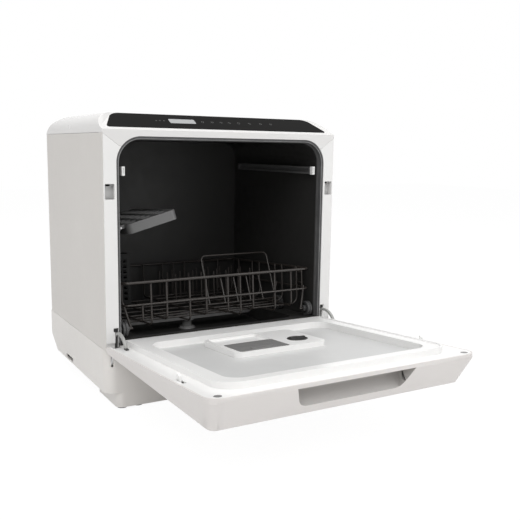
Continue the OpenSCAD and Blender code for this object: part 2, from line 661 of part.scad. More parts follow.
// floor wires in three layers: deep ones, the hoops across them, and shallow ones on top
hoop_z = floor_z + wire_d - weld;
shallow_z = hoop_z + wire_d - weld;
on_floor = shallow_z + wire_d - weld;
deep_x = [-128, -60, 35, 104];
shallow_x = [-101, -30, 11, 60, 138];
low_wire_x = -143;      // this wire rises only to the second loop
hoop_y = [37, 88, 174, 260];
cross_y = [62, 131, 217];
stub_y = [19.5, 113, 202];
bend = 14;
// half of a loop: the front bar and its corners, with sides as far back as y
module front_half(z, r, y) {
  x = inside_x + r;
  lo = end_y - r - wire_r + weld;
  rod([-x + bend, lo, z], [x - bend, lo, z], r);
  for (s = [-1, 1]) {
    quarter([s * (x - bend), lo + bend, z], [0, 0, s < 0 ? 180 : 270], bend, r);
    rod([s * x, lo + bend, z], [s * x, y, z], r);
  }
}
// the other half: the rear bar and the sides, whose front ends step down (dir = -1) or up (dir = 1)
// to pass the first half
jog_r = 3;
tail_l = 15;
module rear_half(z, r, dir, step, y) {
  x = inside_x + r;
  hi = basket_l - end_y + r + wire_r - weld;
  rod([-x + bend, hi, z], [x - bend, hi, z], r);
  for (s = [-1, 1]) {
    quarter([s * (x - bend), hi - bend, z], [0, 0, s < 0 ? 90 : 0], bend, r);
    rod([s * x, y, z], [s * x, hi - bend, z], r);
    quarter([s * x, y, z + dir * jog_r], [90, dir < 0 ? 270 : 180, 90], jog_r, r);
    rod([s * x, y - jog_r, z + dir * jog_r], [s * x, y - jog_r, z + dir * (step - jog_r)], r);
    quarter([s * x, y - 2 * jog_r, z + dir * (step - jog_r)], [90, dir < 0 ? 90 : 0, 90], jog_r, r);
    rod([s * x, y - 2 * jog_r - tail_l, z + dir * step], [s * x, y - 2 * jog_r, z + dir * step], r);
  }
}
module basket_frame() color("dimgray") rack_place() {
  front_half(rim_z, rim_r, 39.5);
  rear_half(rim_z, rim_r, -1, 7.4, 48);
  front_half(loop_z, wire_r, 39.5);
  rear_half(loop_z, wire_r, 1, 7.4, 48);
}
// wire that comes down one wall, crosses the floor at height z and goes up the other wall
module hoop(half, z, top, bend_r) {
  for (s = [-1, 1]) rod([s * half, 0, z + bend_r], [s * half, 0, top], wire_r);
  rod([-half + bend_r, 0, z], [half - bend_r, 0, z], wire_r);
  quarter([-half + bend_r, 0, z + bend_r], [90, 180, 0], bend_r, wire_r);
  quarter([half - bend_r, 0, z + bend_r], [90, 90, 0], bend_r, wire_r);
}
module long_wire(x, z, top)
  translate([x, basket_l / 2, 0]) rotate([0, 0, 90]) hoop(basket_l / 2 - end_y, z, top, 10);
module basket_long_wires() color("dimgray") rack_place() {
  for (x = deep_x) long_wire(x, floor_z, rim_z + 1);
  for (x = shallow_x) long_wire(x, shallow_z, rim_z + 1);
  long_wire(low_wire_x, shallow_z, loop_z + 1);
}
module basket_cross_wires() color("dimgray") rack_place() {
  for (y = hoop_y) translate([0, y, 0]) hoop(side_x, hoop_z, rim_z + 1, bend);
  for (y = cross_y) rod([-148, y, hoop_z], [143, y, hoop_z], wire_r);
  for (y = stub_y, s = [-1, 1]) rod([s * side_x, y, loop_z - 4], [s * side_x, y, rim_z + 1], wire_r);
}
module tine(x, y, h) {
  rod([x, y, on_floor], [x, y, h], wire_r);
  translate([x, y, h]) sphere(wire_r, $fn = 24);
}
module plate_tines() color("dimgray") rack_place() for (y = [182, 222, 262]) {
  rod([-34, y, on_floor], [162, y, on_floor], wire_r);
  for (x = [-8:27:154]) tine(x, y, 74);
}
// a leg is welded to the inside of the second loop and slants inwards; it ends inside the axle's rod
lean = 14.4;
leg_r = 1.9;
module wheel_axles() color("dimgray") rack_place() both() for (i = [0:2]) {
  y = wheel_y[i];
  loop_side = inside_x + wire_r - (wire_r + leg_r - weld) / cos(lean);
  top = [loop_side + 3.5 * tan(lean), i == 0 ? bend + 1 : y, loop_z + 3.5];
  foot = [loop_side - (loop_z - wheel_r) * tan(lean), y, wheel_r];
  rod(top, foot, leg_r);
  rod(foot - [2.6, 0, 0], [wheel_x + 5.9, y, wheel_r], axle_r);
  translate([wheel_x + 5.4, y, wheel_r]) rotate([0, 90, 0]) cylinder(1.2, 3.4, 2.8, $fn = 24);
}
module wheel(y, s) color("dimgray") rack_place() translate([s * wheel_x, y, wheel_r])
  rotate([0, 90 * s, 0]) difference() {
    rotate_extrude($fn = 72) polygon([[axle_r + 0.06, -8.6], [5.6, -8.6], [5.8, -2], [9.6, -1.6],
      [10.2, -4.6], [12.4, -4.6], [wheel_r, -4], [wheel_r, -0.9], [11.8, 0], [wheel_r, 0.9], [wheel_r, 4],
      [12.4, 4.6], [10.2, 4.6], [9.6, 1.6], [5.8, 2], [5.4, 5], [axle_r + 0.06, 5]]);
    for (a = [0:72:288]) rotate(a) translate([7.7, 0, -6]) cylinder(12, 1.3, 1.3, $fn = 16);
  }
module wheel_front_left() wheel(wheel_y[0], -1);
module wheel_front_right() wheel(wheel_y[0], 1);
module wheel_middle_left() wheel(wheel_y[1], -1);
module wheel_middle_right() wheel(wheel_y[1], 1);
module wheel_rear_left() wheel(wheel_y[2], -1);
module wheel_rear_right() wheel(wheel_y[2], 1);

// the tower's posts are welded to the inside of the rim and of the second loop; its rail falls
// gently to the back, and its ends turn down
rail_y = [46, 252];
rail_r = 9;
rail_fall = atan((tower_z[0] - tower_z[1]) / (rail_y[1] - rail_y[0]));
module cup_tower() color("dimgray") rack_place() {
  for (y = cup_y) rod([-side_x, y, loop_z - 4],
    [-side_x, y, tower_z[0] - (y - rail_y[0]) * tan(rail_fall) + (y == cup_y[2] ? 16 : 0)], wire_r);
  translate([-side_x, rail_y[0], tower_z[0]]) rotate([-rail_fall, 0, 0]) {
    l = rail_y[1] - rail_y[0];
    rod([0, 0, 0], [0, l, 0], wire_r);
    rod([0, -rail_r, -rail_r - 46], [0, -rail_r, -rail_r], wire_r);
    rod([0, l + rail_r, -rail_r - 18], [0, l + rail_r, -rail_r], wire_r);
    quarter([0, 0, -rail_r], [90, 270, 90], rail_r, wire_r);
    quarter([0, l, -rail_r], [90, 0, 90], rail_r, wire_r);
  }
}
module shelf_clips() color("gray") rack_place() for (y = cup_y) difference() {
  union() {
    translate([-side_x - 3.6, y - 6, shelf_z - 8]) cube([8.4, 12, 22]);
    translate([2 - side_x, y - 6, shelf_z - 4]) cube([rod_x + side_x - 2, 12, 8]);
    translate([rod_x, y - 6, shelf_z]) rotate([-90, 0, 0]) cylinder(12, 4, 4, $fn = 32);
  }
  rod([-side_x, y, 0], [-side_x, y, 400], wire_r, 24);
  translate([rod_x, y - 8, shelf_z]) rotate([-90, 0, 0]) cylinder(16, 1.45, 1.45, $fn = 24);
}
module shelf_rod() color("silver") rack_place()
  rod([rod_x, shelf_y[0] + 2, shelf_z], [rod_x, shelf_y[1] - 2, shelf_z], 1.45);
module on_shelf() translate([rod_x, 0, shelf_z]) rotate([0, -shelf_tilt, 0]) children();
module cup_shelf() color("gray") rack_place() on_shelf() difference() {
  union() {
    translate([9, 0, 0]) linear_extrude(2.4) difference() {
      rounded([0, shelf_y[0]], [shelf_l - 9, shelf_y[1]], 10);
      for (i = [0:7], j = [0:2])
        rounded([7 + j * 27, shelf_y[0] + 9 + i * 24.6], [28 + j * 27, shelf_y[0] + 27 + i * 24.6], 4);
    }
    translate([9, 0, -14]) linear_extrude(16) difference() {
      rounded([0, shelf_y[0]], [shelf_l - 9, shelf_y[1]], 10);
      rounded([2.2, shelf_y[0] + 2.2], [shelf_l - 11.2, shelf_y[1] - 2.2], 8);
    }
    for (y = [shelf_y[0] + 14, 115, 195, shelf_y[1] - 4]) {
      translate([0, y - 4, 0]) rotate([-90, 0, 0]) cylinder(8, 4, 4, $fn = 32);
      translate([0, y - 4, -3]) cube([11, 8, 6]);
    }
  }
  rotate([-90, 0, 0]) cylinder(300, 1.5, 1.5, $fn = 24);
}
module plate_rack() color("dimgray") rack_place() translate([0, rack_y, on_floor])
  rotate([-rack_lean, 0, 0]) {
    h = rack_h;
    bend_r = 9;
    rod([rack_x[0] - 8, 0, 0], [rack_x[1] + 6, 0, 0], wire_r);
    for (x = rack_x) rod([x, 0, 0], [x, 0, h - bend_r], wire_r);
    rod([rack_x[0] + bend_r, 0, h], [rack_x[1] - bend_r, 0, h], wire_r);
    quarter([rack_x[0] + bend_r, 0, h - bend_r], [90, 0, 180], bend_r, wire_r);
    quarter([rack_x[1] - bend_r, 0, h - bend_r], [90, 0, 0], bend_r, wire_r);
    for (x = [48.8:26.8:140]) {
      rod([x, 0, 0], [x, 0, 46], wire_r);
      translate([x, 0, 46]) sphere(wire_r, $fn = 24);
    }
  }
cutlery_lo = [-160, 201, shallow_z + wire_r + 0.3];
cutlery_hi = [-90, 283, 118];
module cutlery_basket() color([0.14, 0.14, 0.14]) rack_place() {
  size = cutlery_hi - cutlery_lo;
  t = 2;
  translate(cutlery_lo) {
    difference() {
      cube(size);
      translate([t, t, t]) cube([size.x - 2 * t, size.y / 2 - 1.5 * t, size.z]);
      translate([t, size.y / 2 + t / 2, t]) cube([size.x - 2 * t, size.y / 2 - 1.5 * t, size.z]);
      for (x = [6:10:size.x - 12], z = [8:10:size.z - 16]) translate([x, -1, z]) cube([7, size.y + 2, 7]);
      for (y = [6:10:size.y - 12], z = [8:10:size.z - 16]) translate([-1, y, z]) cube([size.x + 2, 7, 7]);
      for (x = [6:10:size.x - 12], y = [6:10:size.y - 12]) translate([x, y, -1]) cube([7, 7, 5]);
    }
  }
}

// ---------- wash system ----------
module spray_hub() color("gray") placed() translate([0, arm_y, 0]) {
  translate([0, 0, 66]) cylinder(arm_z - 67, 8.9, 8.9, $fn = 48);
  translate([0, 0, trough_z]) cylinder(4, 16, 13, $fn = 48);
  translate([0, 0, arm_z - 3]) cylinder(14, 5, 5, $fn = 48);
}
module spray_arm() color([0.25, 0.25, 0.25]) placed() translate([0, arm_y, arm_z]) difference() {
  union() {
    cylinder(13, 14, 12, $fn = 48);
    for (s = [0, 180]) rotate(s) {
      translate([0, 0, 2]) linear_extrude(8) polygon([[0, -12], [arm_l - 12, -9], [arm_l - 4, -5],
        [arm_l, 2], [arm_l - 4, 7], [arm_l - 14, 10], [0, 12]]);
    }
  }
  translate([0, 0, -1]) cylinder(12.5, 5.08, 5.08, $fn = 48);
  for (s = [0, 180], r = [30:22:118]) rotate(s) translate([r, (r % 4) - 2, 6]) cylinder(8, 1.5, 1.5, $fn = 13);
}

base_pan();
front_pads();
rear_feet();
left_side_panel();
right_side_panel();
top_cover();
control_panel();
display_window();
front_frame();
door_gasket();
tub();
upper_rails();
rail_end_caps();
back_panel();
back_screws();
water_inlet();
drain_outlet();
cord_gland();
sump();
filter_plate();
filter_cup();
wash_pump();
drain_pump();
heater();
control_board();
hinge_brackets();
hinge_pins();
strap_guides();
latch_catches();
door_cover();
door_liner();
door_hinge_arms();
door_straps();
strap_feet();
latch_hooks();
door_bumpers();
dispenser_body();
dispenser_lid();
rinse_cap();
basket_frame();
basket_long_wires();
basket_cross_wires();
plate_tines();
wheel_axles();
cup_tower();
shelf_clips();
shelf_rod();
cup_shelf();
plate_rack();
cutlery_basket();
spray_hub();
spray_arm();
wheel_front_left();
wheel_front_right();
wheel_middle_left();
wheel_middle_right();
wheel_rear_left();
wheel_rear_right();
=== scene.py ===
"""Countertop dishwasher with its door down and its wheeled basket: looks, light and camera."""

import json
import math

import bmesh
import bpy
from mathutils import Matrix, Vector


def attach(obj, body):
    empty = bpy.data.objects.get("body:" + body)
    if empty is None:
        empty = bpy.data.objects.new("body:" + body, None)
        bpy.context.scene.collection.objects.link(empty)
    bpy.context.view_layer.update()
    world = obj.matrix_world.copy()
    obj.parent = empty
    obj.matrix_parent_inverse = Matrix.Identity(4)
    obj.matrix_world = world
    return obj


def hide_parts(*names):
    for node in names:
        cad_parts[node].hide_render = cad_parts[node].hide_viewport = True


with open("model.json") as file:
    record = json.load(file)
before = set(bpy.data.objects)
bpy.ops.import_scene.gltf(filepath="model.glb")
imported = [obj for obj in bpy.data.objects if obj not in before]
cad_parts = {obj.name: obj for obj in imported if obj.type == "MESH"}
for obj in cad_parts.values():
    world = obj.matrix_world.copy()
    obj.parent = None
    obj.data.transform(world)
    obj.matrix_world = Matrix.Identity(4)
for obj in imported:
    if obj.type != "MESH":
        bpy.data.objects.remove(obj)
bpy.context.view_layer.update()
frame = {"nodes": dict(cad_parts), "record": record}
MM = 0.001
nodes = frame["nodes"]
body_of_node = {n: b for b, names in frame["record"]["behaviour"]["bodies"].items() for n in names}
slot_of_node = {s["node"]: s["material_slot"] for s in frame["record"]["subparts"]}

# ------------------------------------------------------------------ places worked out from the frame

joints = {j["name"]: j for j in frame["record"]["behaviour"]["joints"]}
HINGE = Vector(joints["door_hinge"]["pos_m"])
TRACK = Vector(joints["basket_slide"]["axis"])
UP = Vector(joints["cutlery_basket_lift"]["axis"])
FRAME_Y = HINGE.y + 12 * MM      # face of the front frame

# sizes from here on are in millimetres
DOOR_FACE = 11.8                 # distance of the door's inner face from the hinge axis
PANEL_LOW = (9.8, 440.2)         # lower edge of the sloping panel, and its upper edge
PANEL_HIGH = (51.0, 463.4)
PANEL_TILT = math.atan2(PANEL_HIGH[1] - PANEL_LOW[1], PANEL_HIGH[0] - PANEL_LOW[0])
HOLE_X, HOLE_TOP, HOLE_R = 188.9, 427.2, 40.0    # hole in the front frame: half width, top, corner round


def cabinet(x, y, z):
    """A point given in millimetres from the middle of the frame's face at worktop level."""
    return Vector((x * MM, FRAME_Y + y * MM, z * MM))


def on_door(x, y, z):
    """A point on the door: y is minus its distance from the hinge, z its height over the inner face."""
    return HINGE + Vector((x * MM, 0, 0)) + TRACK * (y * MM) + UP * ((DOOR_FACE + z) * MM)


def door_place(point):
    """The x, y and z that on_door would take for a point."""
    at = point - HINGE
    return at.x / MM, at.dot(TRACK) / MM, at.dot(UP) / MM - DOOR_FACE


def on_panel(x, up, out):
    """A point on the sloping panel: up runs along the slope, out away from it."""
    y = PANEL_LOW[0] + up * math.cos(PANEL_TILT) - out * math.sin(PANEL_TILT)
    return cabinet(x, y, PANEL_LOW[1] + up * math.sin(PANEL_TILT) + out * math.cos(PANEL_TILT))


# ------------------------------------------------------------------ camera, light and floor

VIEW_PX = 520
FOCAL_PX = 719.306
CAMERA_AT = cabinet(-549.667, -1045.392, 410.896)
PITCH, YAW, ROLL = 0.153205, 0.529637, 0.0148713

SKY_STRENGTH = 0.42
LAMP_TARGET = Vector((0, 0, 0.2))
LAMPS = {            # place and size in metres, power in watts
    "key": ((-1.6, -1.9, 2.3), (2.2, 1.6), 34),
    "fill": ((1.8, -1.6, 1.4), (1.8, 1.8), 16),
    "top": ((0.1, -0.1, 2.4), (2.4, 2.4), 30),
}

FLOOR_HALF = 6                   # metres
FLOOR_DROP = 0.5                 # the floor lies this far under the feet
FLOOR_GREY = 0.86
FLOOR_GLOW, GLOW_SHARE = 1.06, 0.9    # the rest of the share is the matt grey that takes the shadow


def place_camera():
    cam = bpy.data.cameras.new("camera")
    cam.sensor_width = 36
    cam.lens = FOCAL_PX * cam.sensor_width / VIEW_PX
    cam.clip_start = 0.01
    obj = bpy.data.objects.new("camera", cam)
    ahead = Vector((math.sin(YAW) * math.cos(PITCH), math.cos(YAW) * math.cos(PITCH), -math.sin(PITCH)))
    right = Vector((math.cos(YAW), -math.sin(YAW), 0))
    above = right.cross(ahead)
    side = right * math.cos(ROLL) + above * math.sin(ROLL)
    top = -right * math.sin(ROLL) + above * math.cos(ROLL)
    turn = Matrix((side, top, -ahead)).transposed()
    obj.matrix_world = Matrix.Translation(CAMERA_AT) @ turn.to_4x4()
    bpy.context.collection.objects.link(obj)
    bpy.context.scene.camera = obj


def sees_background(tree):
    """1 for the rays that should find a white background."""
    path = tree.nodes.new("ShaderNodeLightPath")
    total = path.outputs["Is Camera Ray"]
    for name in ("Is Glossy Ray", "Is Transmission Ray"):
        add = tree.nodes.new("ShaderNodeMath")
        add.operation = "ADD"
        add.use_clamp = True
        tree.links.new(total, add.inputs[0])
        tree.links.new(path.outputs[name], add.inputs[1])
        total = add.outputs[0]
    return total


def light_world():
    """Soft white light from all round, with a plain white background behind the object."""
    world = bpy.data.worlds.new("studio")
    bpy.context.scene.world = world
    world.use_nodes = True
    tree = world.node_tree
    tree.nodes.clear()
    out = tree.nodes.new("ShaderNodeOutputWorld")
    mix = tree.nodes.new("ShaderNodeMixShader")
    tree.links.new(sees_background(tree), mix.inputs[0])
    for socket, strength in ((1, SKY_STRENGTH), (2, 1.0)):
        sky = tree.nodes.new("ShaderNodeBackground")
        sky.inputs["Color"].default_value = (1, 1, 1, 1)
        sky.inputs["Strength"].default_value = strength
        tree.links.new(sky.outputs[0], mix.inputs[socket])
    tree.links.new(mix.outputs[0], out.inputs[0])


def hang_lamps():
    for name, (place, size, watts) in LAMPS.items():
        lamp = bpy.data.lights.new(name, "AREA")
        lamp.shape = "RECTANGLE"
        lamp.size, lamp.size_y = size
        lamp.energy = watts
        obj = bpy.data.objects.new(name, lamp)
        at = Vector(place)
        aim = (LAMP_TARGET - at).to_track_quat("-Z", "Y")
        obj.matrix_world = Matrix.Translation(at) @ aim.to_matrix().to_4x4()
        bpy.context.collection.objects.link(obj)


def lay_floor():
    bm = bmesh.new()
    bmesh.ops.create_grid(bm, x_segments=1, y_segments=1, size=FLOOR_HALF)
    mesh = bpy.data.meshes.new("floor")
    bm.to_mesh(mesh)
    bm.free()
    obj = bpy.data.objects.new("floor", mesh)
    obj.location.z = -FLOOR_DROP * MM
    bpy.context.collection.objects.link(obj)
    mat = bpy.data.materials.new("pale_floor")
    mat.use_nodes = True
    tree = mat.node_tree
    tree.nodes.clear()
    out = tree.nodes.new("ShaderNodeOutputMaterial")
    matt = tree.nodes.new("ShaderNodeBsdfDiffuse")
    matt.inputs["Color"].default_value = (FLOOR_GREY, FLOOR_GREY, FLOOR_GREY, 1)
    glow = tree.nodes.new("ShaderNodeEmission")
    glow.inputs["Strength"].default_value = FLOOR_GLOW
    share = tree.nodes.new("ShaderNodeMath")
    share.operation = "MULTIPLY"
    share.inputs[1].default_value = GLOW_SHARE
    mix = tree.nodes.new("ShaderNodeMixShader")
    tree.links.new(sees_background(tree), share.inputs[0])
    tree.links.new(share.outputs[0], mix.inputs[0])
    tree.links.new(matt.outputs[0], mix.inputs[1])
    tree.links.new(glow.outputs[0], mix.inputs[2])
    tree.links.new(mix.outputs[0], out.inputs[0])
    mesh.materials.append(mat)


# ------------------------------------------------------------------ finishes
# A noise's scale is in waves per metre, and a bump's depth is in millimetres.

def finish_base(name):
    mat = bpy.data.materials.new(name)
    mat.use_nodes = True
    tree = mat.node_tree
    shader = tree.nodes["Principled BSDF"]
    coords = tree.nodes.new("ShaderNodeTexCoord").outputs["Object"]
    return mat, tree, shader, coords


def noise(tree, coords, scale, detail=2, roughness=0.5):
    node = tree.nodes.new("ShaderNodeTexNoise")
    node.inputs["Scale"].default_value = scale
    node.inputs["Detail"].default_value = detail
    node.inputs["Roughness"].default_value = roughness
    tree.links.new(coords, node.inputs["Vector"])
    return node.outputs["Fac"]


def spread(tree, value, low, high):
    """The middle of a noise's range, stretched to run from low to high."""
    node = tree.nodes.new("ShaderNodeMapRange")
    node.inputs["From Min"].default_value = 0.3
    node.inputs["From Max"].default_value = 0.7
    node.inputs["To Min"].default_value = low
    node.inputs["To Max"].default_value = high
    tree.links.new(value, node.inputs["Value"])
    return node.outputs["Result"]


def tint(tree, shader, pattern, colour, darker, lighter):
    """Colours the shader between a darker and a lighter tone of one colour, along a pattern."""
    node = tree.nodes.new("ShaderNodeMix")
    node.data_type = "RGBA"
    for socket, by in (("A", darker), ("B", lighter)):
        node.inputs[socket].default_value = (*(min(1.0, c * by) for c in colour), 1)
    tree.links.new(spread(tree, pattern, 0, 1), node.inputs["Factor"])
    tree.links.new(node.outputs["Result"], shader.inputs["Base Color"])


def roughen(tree, shader, pattern, low, high):
    tree.links.new(spread(tree, pattern, low, high), shader.inputs["Roughness"])


def bump(tree, shader, height, depth):
    node = tree.nodes.new("ShaderNodeBump")
    node.inputs["Distance"].default_value = depth * MM
    tree.links.new(height, node.inputs["Height"])
    tree.links.new(node.outputs["Normal"], shader.inputs["Normal"])


def moulded(name, colour, rough=0.45, grain=0.6, depth=0.02, mottle=0.025, specular=0.5):
    """Moulded plastic: a fine eroded grain, slow flow marks and a roughness that wanders a little."""
    mat, tree, shader, coords = finish_base(name)
    tint(tree, shader, noise(tree, coords, 9, 3), colour, 1 - mottle, 1 + mottle)
    roughen(tree, shader, noise(tree, coords, 60, 3), rough - 0.05, rough + 0.06)
    bump(tree, shader, noise(tree, coords, 1 / (grain * MM)), depth)
    shader.inputs["Specular IOR Level"].default_value = specular
    return mat


def gloss(name, colour, rough=0.16, coat=0.6, specular=0.5, ior=1.5):
    """Polished plastic: slow flow marks in its tint and in its shine."""
    mat, tree, shader, coords = finish_base(name)
    flow = noise(tree, coords, 7, 1)
    tint(tree, shader, flow, colour, 0.975, 1.015)
    roughen(tree, shader, flow, rough, rough + 0.04)
    shader.inputs["IOR"].default_value = ior
    shader.inputs["Specular IOR Level"].default_value = specular
    shader.inputs["Coat Weight"].default_value = coat
    shader.inputs["Coat Roughness"].default_value = 0.05
    return mat


def grained_floor(name, colour):
    """The liner's sunk floor: a fine spark-eroded texture that takes the shine off."""
    mat, tree, shader, coords = finish_base(name)
    tint(tree, shader, noise(tree, coords, 14, 4), colour, 0.96, 1.03)
    grain = noise(tree, coords, 1100, 3, 0.6)
    roughen(tree, shader, grain, 0.34, 0.5)
    bump(tree, shader, grain, 0.03)
    return mat


def powder_coat(name, colour, rough=0.42, mottle=0.02):
    """Powder coat: fine orange peel over sheet or wire."""
    mat, tree, shader, coords = finish_base(name)
    tint(tree, shader, noise(tree, coords, 12, 3), colour, 1 - mottle, 1 + mottle)
    roughen(tree, shader, noise(tree, coords, 140, 3), rough - 0.04, rough + 0.05)
    bump(tree, shader, noise(tree, coords, 900), 0.03)
    return mat


def plain_metal(name, colour, rough=0.32):
    """Rolled steel with faint drawing lines."""
    mat, tree, shader, coords = finish_base(name)
    stretch = tree.nodes.new("ShaderNodeMapping")
    stretch.inputs["Scale"].default_value = (1, 18, 18)
    tree.links.new(coords, stretch.inputs["Vector"])
    lines = noise(tree, stretch.outputs[0], 90, 4, 0.7)
    tint(tree, shader, lines, colour, 0.86, 1.08)
    roughen(tree, shader, lines, rough - 0.08, rough + 0.12)
    shader.inputs["Metallic"].default_value = 1.0
    bump(tree, shader, lines, 0.01)
    return mat


def rubber(name, colour):
    """Matt rubber with a cloudy bloom."""
    mat, tree, shader, coords = finish_base(name)
    bloom = noise(tree, coords, 45, 5, 0.65)
    tint(tree, shader, bloom, colour, 0.8, 1.25)
    roughen(tree, shader, bloom, 0.6, 0.78)
    bump(tree, shader, noise(tree, coords, 1500), 0.015)
    return mat


# finish of each material slot
FINISH = {
    "shell_white": gloss("pearl_white_shell", (0.82, 0.815, 0.805), rough=0.22, coat=0.35),
    "cover_grey": moulded("pale_cover", (0.80, 0.79, 0.77)),
    "side_sheet": powder_coat("warm_grey_sheet", (0.71, 0.685, 0.655), rough=0.5, mottle=0.012),
    "base_cream": moulded("cream_base", (0.80, 0.775, 0.745), rough=0.38, grain=0.5, depth=0.015),
    "panel_black": gloss("black_touch_panel", (0.008, 0.0077, 0.0075), rough=0.34, coat=0.0,
                         specular=0.2, ior=1.12),
    "display": gloss("pale_display", (0.36, 0.365, 0.37), rough=0.25, coat=0.0, specular=0.3),
    "seal_rubber": rubber("seal_rubber", (0.085, 0.085, 0.086)),
    "tub_dark": moulded("dark_tub", (0.028, 0.0275, 0.0265), rough=0.42, grain=0.8, mottle=0.03,
                        specular=0.35),
    "white_trim": gloss("white_trim", (0.88, 0.88, 0.87)),
    "back_sheet": powder_coat("zinc_sheet", (0.42, 0.42, 0.41), rough=0.45),
    "steel": plain_metal("rolled_steel", (0.60, 0.60, 0.60)),
    "grey_plastic": moulded("mid_grey_plastic", (0.19, 0.188, 0.186), rough=0.42),
    "dark_plastic": moulded("dark_plastic", (0.022, 0.0215, 0.021), rough=0.4, grain=0.5),
    "liner_grey": gloss("white_liner", (0.90, 0.895, 0.885), rough=0.3, coat=0.15),
    "door_outer": powder_coat("door_skin", (0.745, 0.715, 0.695), mottle=0.01),
    "strap_grey": moulded("strap_grey", (0.36, 0.36, 0.35), rough=0.4),
    "wire_coat": powder_coat("graphite_wire", (0.030, 0.025, 0.022), rough=0.36, mottle=0.05),
    "board_green": moulded("board_green", (0.03, 0.12, 0.05), rough=0.4),
}

# nodes that differ from their slot's finish
OWN_FINISH = {
    "upper_rails": moulded("satin_rail", (0.10, 0.10, 0.10), rough=0.38),
    "cutlery_basket": moulded("black_cutlery_basket", (0.010, 0.010, 0.010), rough=0.5, specular=0.25),
    "cup_shelf": moulded("shelf_grey", (0.15, 0.15, 0.15), rough=0.42, grain=0.5),
    "top_cover": gloss("cap_white", (0.735, 0.725, 0.715), rough=0.24, coat=0.2),
    "latch_catches": moulded("catch_plate", (0.55, 0.55, 0.545), rough=0.4),
}
WHEEL_GREY = moulded("wheel_grey", (0.055, 0.055, 0.056), rough=0.5, grain=0.5, depth=0.03)

# finishes of details within a node or on top of it
WELL_FLOOR = grained_floor("liner_well_floor", (0.60, 0.60, 0.595))
# painted shade: a darker tone of the door skin, laid on the faces inside the finger recess
RECESS_PAINTED_SHADE = powder_coat("recess_painted_shade", (0.48, 0.465, 0.45), rough=0.45, mottle=0.012)
# the gasket's lip: a real round bead, and its lighter grey is a painted highlight
SEAL_LIP_PAINTED_HIGHLIGHT = rubber("seal_lip_painted_highlight", (0.24, 0.24, 0.242))
KEY_PRINT = moulded("key_marks", (0.11, 0.11, 0.11), rough=0.5)
SCREW_BLACK = plain_metal("blackened_screw", (0.06, 0.06, 0.06), rough=0.45)


def finish_of(node):
    if node.startswith("wheel_") and node != "wheel_axles":
        return WHEEL_GREY
    return OWN_FINISH.get(node, FINISH[slot_of_node[node]])


def dress_nodes():
    for name, obj in nodes.items():
        mat = finish_of(name)
        for slot in obj.material_slots:
            slot.material = mat
        if not obj.material_slots:
            obj.data.materials.append(mat)


def piece(name, bm, body, finish, smooth_deg, stands_for=()):
    """Turns a bmesh into a piece of the object that rides on a body."""
    mesh = bpy.data.meshes.new(name)
    bm.to_mesh(mesh)
    bm.free()
    obj = bpy.data.objects.new(name, mesh)
    bpy.context.collection.objects.link(obj)
    mesh.materials.append(finish)
    mesh.shade_smooth()
    mesh.set_sharp_from_angle(angle=math.radians(smooth_deg))
    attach(obj, body)
    if stands_for:
        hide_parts(*stands_for)
    return obj


# ------------------------------------------------------------------ rounds of the door's free end

DOOR_HALF, DOOR_END = 210, -349
RIM_BAND = 6.0                   # height of the door's upright edge
SIDE_DRAFT = math.tan(math.radians(14))
END_LEAN = 0.6078                # how far the end face leans in per millimetre of height
TOE_Z, TOE_SLOPE = -45.8, 0.0932    # the underside at the free end, and its rise towards the hinge

CORNER_R = 22.0                  # round of the two free corners
CORNER_STEPS = 14
SKIN = 2.4                       # a filler keeps this far inside the outer faces
FILLER_TOP = -7.5
FILLER_REACH = 34
CUTTER_LOW = -62.0
CUTTER_PROUD = 9                 # a cutter stands this far outside the faces that it cuts
CUTTER_SOONER = 0.02

RECESS_CORNER = Vector((-80.2, -32.7))    # lower corner of the finger recess, as x and z
RECESS_SIDE = Vector((-0.4186, 0.9082))   # the way its side edge runs up
RECESS_R = 16.0                  # round of its lower corners
RECESS_STEPS = 9
RECESS_DEPTH = 26
RECESS_BITE = 2.5                # a fillet goes this far into the wall behind it
RECESS_HALF, RECESS_INNER = 97, -316      # it lies within this half width and beyond this y
RECESS_Z = (-38, -5.2)           # and between these heights
RECESS_SET_BACK = 1.2            # the painted shade inside it starts this far behind the end face

LOOSE = 0.004                    # points of a node closer than this are one point
CUT_LOOSE = 0.03                 # the same once it has been carved


def end_face(z):
    """The y of the door's leaning end face at height z."""
    return DOOR_END - (RIM_BAND + z) * END_LEAN


def carved(bm, fillers, cutters):
    """The shape with the fillers added, less the cutters."""
    mesh = bpy.data.meshes.new("uncut")
    bm.to_mesh(mesh)
    bm.free()
    blank = bpy.data.objects.new("uncut", mesh)
    bpy.context.collection.objects.link(blank)
    for operation, tools in (("UNION", fillers), ("DIFFERENCE", cutters)):
        for tool in tools:
            step = blank.modifiers.new("step", "BOOLEAN")
            step.operation = operation
            step.solver = "EXACT"
            step.object = tool
    done = bmesh.new()
    done.from_mesh(blank.evaluated_get(bpy.context.evaluated_depsgraph_get()).to_mesh())
    for spent in (blank, *fillers, *cutters):
        bpy.data.objects.remove(spent)
    return done


def tool_shape(name, bm):
    """A closed shape that only serves to carve another."""
    bmesh.ops.recalc_face_normals(bm, faces=bm.faces)
    mesh = bpy.data.meshes.new(name)
    bm.to_mesh(mesh)
    bm.free()
    obj = bpy.data.objects.new(name, mesh)
    bpy.context.collection.objects.link(obj)
    return obj


def pulled_out(name, outline, run, sooner=0.0):
    """A tool shape made of an outline drawn out along run, which may start a share of the run sooner."""
    bm = bmesh.new()
    face = bm.faces.new([bm.verts.new(p) for p in outline])
    bmesh.ops.translate(bm, vec=-run * sooner, verts=bm.verts)
    made = bmesh.ops.extrude_face_region(bm, geom=[face])["geom"]
    bmesh.ops.translate(bm, vec=run, verts=[g for g in made if isinstance(g, bmesh.types.BMVert)])
    return tool_shape(name, bm)


def on_corner(side, z, inset=0.0):
    """Where the side face and the end face meet at height z, or would meet that far inside them."""
    drop = -RIM_BAND - z
    x = DOOR_HALF - drop * SIDE_DRAFT - inset * math.hypot(1, SIDE_DRAFT)
    return Vector((side * x, DOOR_END + drop * END_LEAN + inset * math.hypot(1, END_LEAN), z))


